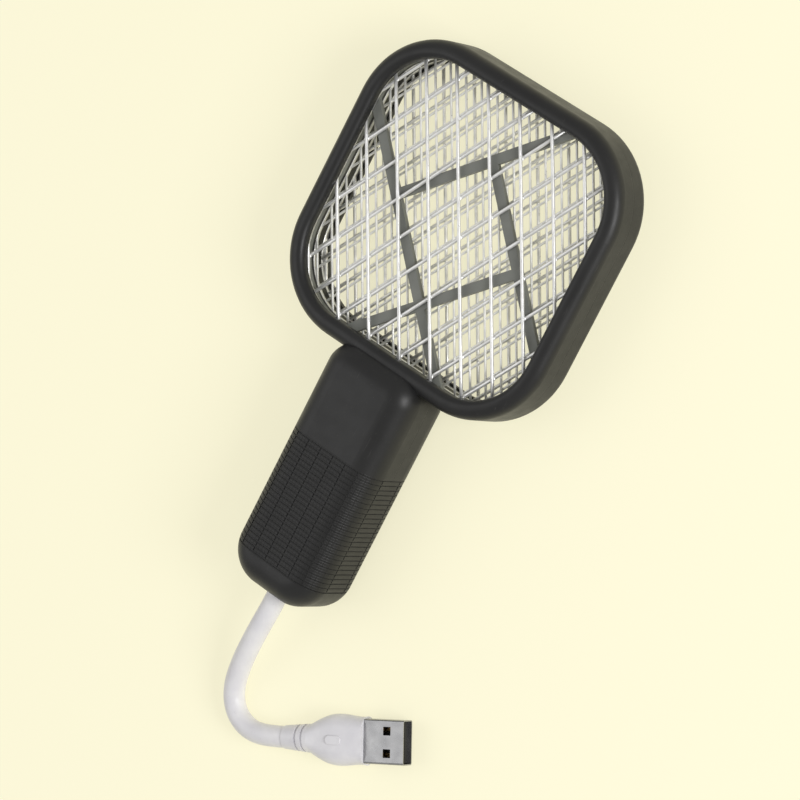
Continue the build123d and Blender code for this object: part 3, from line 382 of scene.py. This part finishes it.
def tinned_wire(name, low, high, metal, rough):
    """Bright tinned wire with drawing lines, dull patches and the odd speck."""
    p = Paint(name, rough, metal)
    patch = p.spread(p.noise(2.5, 3.0), 0.3, 0.7)
    base = p.mix(patch, low, high)
    specks = p.spread(p.noise(0.5, 1.0), 0.70, 0.76, 0.0, 0.6)
    p.colour(p.mix(specks, base, (0.30, 0.29, 0.27)))
    p.roughness(p.spread(p.noise(1.2, 3.0), 0.3, 0.7, rough - 0.06, rough + 0.10))
    p.bump(p.noise(0.3, 2.0), 0.01, 0.5)
    return p.mat


steel_wire = tinned_wire("steel_wire", (0.74, 0.74, 0.74), (0.90, 0.90, 0.90), 0.75, 0.34)
fine_wire = tinned_wire("fine_wire", (0.78, 0.78, 0.76), (0.92, 0.92, 0.90), 0.45, 0.40)
leans = (WIRE_ANGLE, -WIRE_ANGLE)
outer_layers = tuple(zip(OUTER_SHIFTS, leans))
inner_layers = tuple(zip(INNER_SHIFTS, leans))


def layers_at(pitch, pairs, wire, low, high):
    """Two layers of wire, one on the floor of a band and one at its top."""
    heights = (low + wire / 2, high - wire / 2)
    return tuple((pitch, shift, lean, z) for (shift, lean), z in zip(pairs, heights))


back_low, front_high = STACK_TOP - OUTER_T, STACK_BOTTOM + OUTER_T
wire_grid(
    "outer_wires_back", "outer_grid_back", steel_wire, OUTER_WIRE,
    layers_at(OUTER_PITCH, outer_layers, OUTER_WIRE, back_low, STACK_TOP),
    back_low, STACK_TOP, WELD_R,
)
wire_grid(
    "outer_wires_front", "outer_grid_front", steel_wire, OUTER_WIRE,
    layers_at(OUTER_PITCH, outer_layers[::-1], OUTER_WIRE, STACK_BOTTOM, front_high),
    STACK_BOTTOM, front_high, WELD_R,
)
wire_grid(
    "inner_wires", "inner_grid", fine_wire, INNER_WIRE,
    layers_at(INNER_PITCH, inner_layers, INNER_WIRE, INNER_LOW, INNER_HIGH),
    INNER_LOW, INNER_HIGH,
)

# ---------------------------------------------------------------- materials of the CAD pieces
PARTING_Z = 11.5  # where the two shells meet
GRIP_LOW, GRIP_HIGH = -69.0, -33.5
NET_ROWS = 0.3625  # half the spacing of the hairlines
NET_COLUMNS = 0.55


def shell_plastic():
    """Charcoal ABS: spark-eroded grain, flow mottling, polished edges, fine scuffs and dust, with
    painted shade on the grip, its hairlines and the parting seam.
    """
    p = Paint("charcoal_shell", 0.4)
    p.value("Specular IOR Level", 0.34)
    mottle = p.spread(p.noise(14.0, 3.0), 0.3, 0.7)
    base = p.mix(mottle, (0.0125, 0.0125, 0.0130), (0.0175, 0.0175, 0.0180))
    dust = p.spread(p.noise(0.30, 1.0), 0.70, 0.76, 0.0, 0.35)
    base = p.mix(dust, base, (0.055, 0.055, 0.053))
    scuff = p.noise(0.5, 2.0, 0.5, (1.0, 0.07, 1.0))
    patches = p.spread(p.noise(11.0, 2.0), 0.52, 0.66)
    scuffs = p.maths("MULTIPLY", p.spread(scuff, 0.66, 0.72, 0.0, 0.5), patches)
    base = p.mix(scuffs, base, (0.050, 0.050, 0.050))
    soft = p.add("ShaderNodeBevel")
    soft.samples = 4
    soft.inputs["Radius"].default_value = 0.35 * MM
    flat = p.add("ShaderNodeNewGeometry")
    same = p.add("ShaderNodeVectorMath")
    same.operation = "DOT_PRODUCT"
    p.link(soft.outputs["Normal"], same.inputs[0])
    p.link(flat.outputs["Normal"], same.inputs[1])
    edge = p.spread(same.outputs["Value"], 0.97, 0.80, 0.0, 0.45)
    base = p.mix(edge, base, (0.045, 0.045, 0.046))
    # the grip is moulded with a net of hairlines between its grooves; the whole grip is darkened as
    # painted shade of its grooves, and the hairlines are darkened further as painted shade
    place = p.add("ShaderNodeSeparateXYZ")
    p.link(p.coords, place.inputs["Vector"])
    start = p.spread(place.outputs["Y"], (GRIP_LOW - 0.4) * MM, GRIP_LOW * MM)
    stop = p.spread(place.outputs["Y"], GRIP_HIGH * MM, (GRIP_HIGH + 0.4) * MM, 1.0, 0.0)
    grip = p.maths("MULTIPLY", start, stop)
    rows = p.maths("PINGPONG", place.outputs["Y"], NET_ROWS * MM)
    columns = p.maths("PINGPONG", place.outputs["X"], NET_COLUMNS * MM)
    row_lines = p.spread(rows, 0.0, 0.10 * MM, 1.0, 0.0)
    column_lines = p.spread(columns, 0.0, 0.12 * MM, 1.0, 0.0)
    net = p.maths("MULTIPLY", p.maths("MAXIMUM", row_lines, column_lines), grip)
    # painted shade: the grip zone darkened as if in the shade of its grooves
    base = p.mix(p.maths("MULTIPLY", grip, 0.30), base, (0.0060, 0.0058, 0.0058))
    # painted shade: darker hairlines, as if shade fell in them
    base = p.mix(p.maths("MULTIPLY", net, 0.45), base, (0.0045, 0.0043, 0.0043))
    above = p.maths("SUBTRACT", place.outputs["Z"], PARTING_Z * MM)
    seam_groove_and_shade = p.spread(p.maths("ABSOLUTE", above), 0.06 * MM, 0.14 * MM, 1.0, 0.0)
    # painted shade: a dark line along the parting seam, as if shade fell in the gap between the shells
    base = p.mix(p.maths("MULTIPLY", seam_groove_and_shade, 0.8), base, (0.0025, 0.0025, 0.0025))
    p.colour(base)
    p.roughness(p.spread(p.noise(4.0, 4.0, 0.6), 0.3, 0.7, 0.36, 0.46))
    wave = p.bump(p.noise(9.0, 1.0), 0.06, 0.25)
    grain = p.bump(p.noise(0.14, 2.0, 0.6), 0.018, 0.40, wave)
    lines = p.maths("SUBTRACT", 1.0, p.maths("MAXIMUM", net, seam_groove_and_shade))
    p.bump(lines, 0.06, 0.6, grain)
    return p.mat


def board_laminate():
    """Green solder mask with traces and copper pads showing through."""
    p = Paint("board", 0.35)
    cells = p.voronoi(2.2, (1.0, 1.0, 0.02))
    lines = p.spread(cells, 0.42, 0.46)
    green = p.mix(lines, (0.010, 0.085, 0.035), (0.018, 0.130, 0.055))
    pads = p.spread(p.voronoi(3.4, (1.0, 1.0, 0.02)), 0.13, 0.10)
    p.colour(p.mix(pads, green, (0.60, 0.40, 0.20)))
    p.roughness(p.spread(p.noise(1.0, 2.0), 0.3, 0.7, 0.28, 0.42))
    p.bump(lines, 0.03, 0.6)
    return p.mat


def wound(name, low, high, pitch, rough):
    """Tape or wire wound in turns, one above the other."""
    p = Paint(name, rough)
    wave = p.add("ShaderNodeTexWave")
    wave.bands_direction = "Z"
    wave.inputs["Scale"].default_value = BAND_WIDTH / (pitch * MM)
    wave.inputs["Distortion"].default_value = 0.4
    p.link(p.coords, wave.inputs["Vector"])
    p.colour(p.mix(wave.outputs["Fac"], low, high))
    p.roughness(p.spread(p.noise(1.0), 0.3, 0.7, rough - 0.05, rough + 0.08))
    p.bump(wave.outputs["Fac"], 0.05, 0.7)
    return p.mat


def foam(name, low, high):
    """Open-cell foam."""
    p = Paint(name, 0.95)
    pores = p.spread(p.voronoi(0.5), 0.1, 0.6)
    p.colour(p.mix(pores, low, high))
    p.roughness(p.spread(p.noise(0.8), 0.3, 0.7, 0.88, 0.98))
    p.bump(pores, 0.12, 0.8)
    return p.mat


def lens(name):
    """Diffused epoxy of an indicator."""
    p = Paint(name, 0.2)
    cloud = p.spread(p.noise(0.9, 3.0), 0.3, 0.7)
    p.colour(p.mix(cloud, (0.55, 0.05, 0.03), (0.72, 0.10, 0.06)))
    p.value("Subsurface Weight", 0.2)
    p.value("Subsurface Radius", (0.002, 0.0005, 0.0004))
    p.roughness(p.spread(p.noise(0.6), 0.3, 0.7, 0.14, 0.24))
    p.bump(cloud, 0.02, 0.3)
    return p.mat


def cord_jacket():
    """Soft white PVC: faint lilac shade, drawn skin, handling marks."""
    p = Paint("cord_jacket", 0.4)
    p.value("Specular IOR Level", 0.5)
    p.value("Subsurface Weight", 0.08)
    p.value("Subsurface Radius", (0.0012, 0.0011, 0.0012))
    shade = p.spread(p.noise(7.0, 3.0), 0.3, 0.7)
    base = p.mix(shade, (0.69, 0.68, 0.72), (0.78, 0.77, 0.79))
    marks = p.spread(p.noise(0.8, 3.0, 0.6), 0.66, 0.76, 0.0, 0.35)
    p.colour(p.mix(marks, base, (0.50, 0.49, 0.48)))
    p.roughness(p.spread(p.noise(2.0, 3.0), 0.3, 0.7, 0.34, 0.48))
    wave = p.bump(p.noise(2.6, 1.0), 0.06, 0.35)
    p.bump(p.noise(0.25, 2.0), 0.012, 0.4, wave)
    return p.mat


def plug_plastic():
    """The same white PVC, moulded: glossier, with a fine orange peel."""
    p = Paint("plug_plastic", 0.34)
    p.value("Specular IOR Level", 0.5)
    shade = p.spread(p.noise(5.0, 3.0), 0.3, 0.7)
    base = p.mix(shade, (0.66, 0.65, 0.69), (0.75, 0.74, 0.77))
    marks = p.spread(p.noise(0.6, 3.0, 0.6), 0.68, 0.78, 0.0, 0.3)
    p.colour(p.mix(marks, base, (0.48, 0.47, 0.46)))
    p.roughness(p.spread(p.noise(2.0, 3.0), 0.3, 0.7, 0.28, 0.42))
    p.bump(p.noise(0.5, 2.0), 0.015, 0.5)
    return p.mat


shell = shell_plastic()
grey = (0.140, 0.145, 0.132), (0.180, 0.186, 0.170)
light_grey = (0.17, 0.175, 0.165), (0.22, 0.225, 0.215)
dark_steel = (0.30, 0.30, 0.31), (0.42, 0.42, 0.43)
black = (0.007, 0.007, 0.007), (0.013, 0.013, 0.013)
cream = (0.62, 0.58, 0.48), (0.70, 0.66, 0.56)
steel = (0.50, 0.50, 0.51), (0.66, 0.66, 0.67)
brass = (0.62, 0.44, 0.17), (0.76, 0.56, 0.26)
FINISHES = (
    (("back_shell", "front_shell"), shell),
    (("rib_frame",), moulded("rib_plastic", *grey, 0.5, 0.2)),
    # The spacer rings are coloured black, darker than the charcoal shells, as painted shade for their
    # wall in the recess inside the rim.
    (("spacer_ring_back", "spacer_ring_front"), moulded("spacer_plastic", *black, 0.5)),
    (("push_button",), moulded("button_plastic", *light_grey, 0.34)),
    (("power_knob",), moulded("knob_plastic", *light_grey, 0.40)),
    (("slide_switch_lever", "tact_switch_stem"), moulded("lever_plastic", *black, 0.45)),
    (("tact_switch_body",), moulded("switch_plastic", *black, 0.5)),
    (("slide_switch_body",), brushed("switch_can", *steel, 0.32, (1.0, 0.05, 1.0))),
    (("indicator_led",), lens("lens")),
    (("live_contact", "earth_strap"), brushed("contact_brass", *brass, 0.30, (1.0, 0.06, 1.0))),
    (("circuit_board",), board_laminate()),
    (("transformer_core",), moulded("ferrite", (0.020, 0.020, 0.022), (0.040, 0.040, 0.043), 0.6)),
    (("transformer_coil",), wound("coil_tape", (0.55, 0.42, 0.05), (0.75, 0.60, 0.10), 0.6, 0.35)),
    (("storage_capacitor",), moulded("film_epoxy", (0.26, 0.035, 0.015), (0.36, 0.05, 0.02), 0.28)),
    (("rectifier_diodes",), moulded("diode_epoxy", *black, 0.4)),
    (("discharge_resistor",), moulded("resistor_coat", *cream, 0.45)),
    (("charge_chip", "switching_transistor"), moulded("chip_epoxy", *black, 0.55)),
    (("battery_cell",), brushed("cell_wrap", (0.52, 0.53, 0.56), (0.70, 0.71, 0.74), 0.38, (1, 1, 1))),
    (("cell_pad",), foam("foam", (0.03, 0.03, 0.03), (0.07, 0.07, 0.07))),
    (("live_lead",), wound("lead_red", (0.36, 0.01, 0.01), (0.46, 0.02, 0.02), 3.0, 0.4)),
    (("earth_lead",), wound("lead_black", *black, 3.0, 0.4)),
    (("battery_leads",), wound("lead_orange", (0.45, 0.06, 0.01), (0.55, 0.09, 0.02), 3.0, 0.4)),
    (("supply_leads",), wound("lead_white", (0.60, 0.60, 0.60), (0.70, 0.70, 0.70), 3.0, 0.4)),
    (("case_screws",), brushed("screw_steel", *dark_steel, 0.34, (1, 1, 1))),
    (("cord_bushing",), moulded("bushing_rubber", *black, 0.6)),
    (("cord_clamp",), moulded("clamp_plastic", (0.05, 0.05, 0.05), (0.08, 0.08, 0.08), 0.5)),
    (("usb_overmould",), plug_plastic()),
    (("usb_shell",), brushed("plug_steel", *dark_steel, 0.3, (1, 1, 1), 1.5)),
    (("usb_insert",), moulded("insert_plastic", *black, 0.45)),
    (("usb_contacts",), brushed("gold_plate", (0.72, 0.50, 0.20), (0.84, 0.62, 0.30), 0.25, (1, 1, 1))),
)
for names, finish in FINISHES:
    for name in names:
        assign(name, finish)
usb_lead.data.materials.append(cord_jacket())

# ---------------------------------------------------------------- floor and light
floor_mat = Paint("floor", 0.9)
floor_mat.value("Base Color", (0.36, 0.346, 0.265, 1.0))
floor_mat.value("Emission Color", (1.0, 0.962, 0.715, 1.0))
floor_mat.value("Emission Strength", 0.66)
floor_mat.value("Specular IOR Level", 0.0)
bm = bmesh.new()
bmesh.ops.create_grid(bm, x_segments=2, y_segments=2, size=2.5)
floor = new_object("floor", bm, floor_mat.mat, False)
floor.location.z = -0.05 * MM

world = bpy.data.worlds.new("studio")
bpy.context.scene.world = world
world.use_nodes = True
background = world.node_tree.nodes["Background"]
background.inputs["Color"].default_value = (1.0, 0.99, 0.95, 1.0)
background.inputs["Strength"].default_value = 0.55


def area_light(name, place, size, power):
    """A soft light that faces the origin."""
    data = bpy.data.lights.new(name, "AREA")
    data.shape = "RECTANGLE"
    data.size, data.size_y = size
    data.energy = power
    obj = bpy.data.objects.new(name, data)
    bpy.context.scene.collection.objects.link(obj)
    obj.location = place
    obj.rotation_euler = (-Vector(place)).to_track_quat("-Z", "Y").to_euler()


area_light("key", (0.9, 0.30, 0.55), (0.5, 0.4), 7)
area_light("fill", (-0.7, -0.3, 0.9), (0.8, 0.8), 2)

bpy.context.scene.view_settings.view_transform = "Standard"

bpy.context.view_layer.update()
